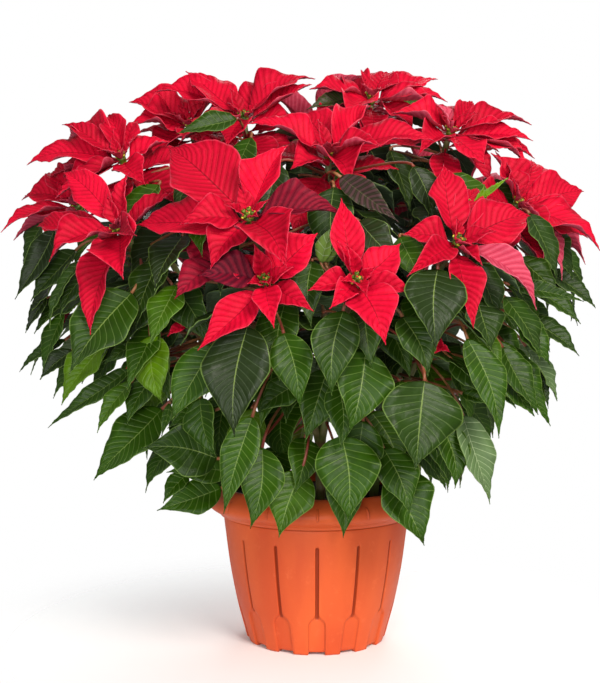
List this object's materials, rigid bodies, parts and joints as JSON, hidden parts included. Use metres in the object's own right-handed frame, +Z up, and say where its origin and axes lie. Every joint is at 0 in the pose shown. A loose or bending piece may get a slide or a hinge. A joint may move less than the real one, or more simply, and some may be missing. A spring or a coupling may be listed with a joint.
{
  "type": "potted poinsettia",
  "caption": "Bushy poinsettia with red bracts over drooping green leaves, growing in a round ribbed plastic pot with a bulging collar.",
  "frame": {"origin": "middle of the whole plant's outline seen from above, on the plane that the pot's feet stand on; the pot's axis stands beside it", "axes": "+Z up, out of the pot; -Y to the front, where the lowest and largest blooms face; +X to the right seen from the front"},
  "size_m": [0.5976, 0.5084, 0.588],
  "materials": {
    "pot_plastic": "satin",
    "potting_soil": "matte",
    "green_leaf": "satin",
    "green_stem": "satin",
    "red_bract": "satin",
    "cyathium": "satin"
  },
  "bodies": {
    "root": {"pot": "pot_plastic", "soil": "potting_soil", "bracts_centre": "red_bract", "cyathia_centre": "cyathium", "bracts_low_left": "red_bract", "cyathia_low_left": "cyathium", "bracts_low_right": "red_bract", "cyathia_low_right": "cyathium", "bracts_right": "red_bract", "cyathia_right": "cyathium", "bracts_left": "red_bract", "cyathia_left": "cyathium", "bracts_crown": "red_bract", "cyathia_crown": "cyathium", "bracts_upper_left": "red_bract", "cyathia_upper_left": "cyathium", "bracts_crown_left": "red_bract", "cyathia_crown_left": "cyathium", "bracts_crown_right": "red_bract", "cyathia_crown_right": "cyathium", "bracts_upper_right": "red_bract", "cyathia_upper_right": "cyathium", "bracts_far_right": "red_bract", "cyathia_far_right": "cyathium", "bracts_left_back": "red_bract", "cyathia_left_back": "cyathium", "bracts_far_left": "red_bract", "cyathia_far_left": "cyathium", "bracts_side_left": "red_bract", "cyathia_side_left": "cyathium", "bracts_back_crown": "red_bract", "cyathia_back_crown": "cyathium", "bracts_back_left": "red_bract", "cyathia_back_left": "cyathium", "bracts_back_centre": "red_bract", "cyathia_back_centre": "cyathium", "bracts_back_right": "red_bract", "cyathia_back_right": "cyathium", "bracts_side_right": "red_bract", "cyathia_side_right": "cyathium", "bracts_low_back_left": "red_bract", "cyathia_low_back_left": "cyathium", "bracts_low_back_right": "red_bract", "cyathia_low_back_right": "cyathium", "leafy_stem_front": "green_leaf", "leafy_stem_left": "green_leaf", "leafy_stem_right": "green_leaf", "leafy_stem_back_left": "green_leaf", "leafy_stem_back_right": "green_leaf"}
  },
  "joints": []
}
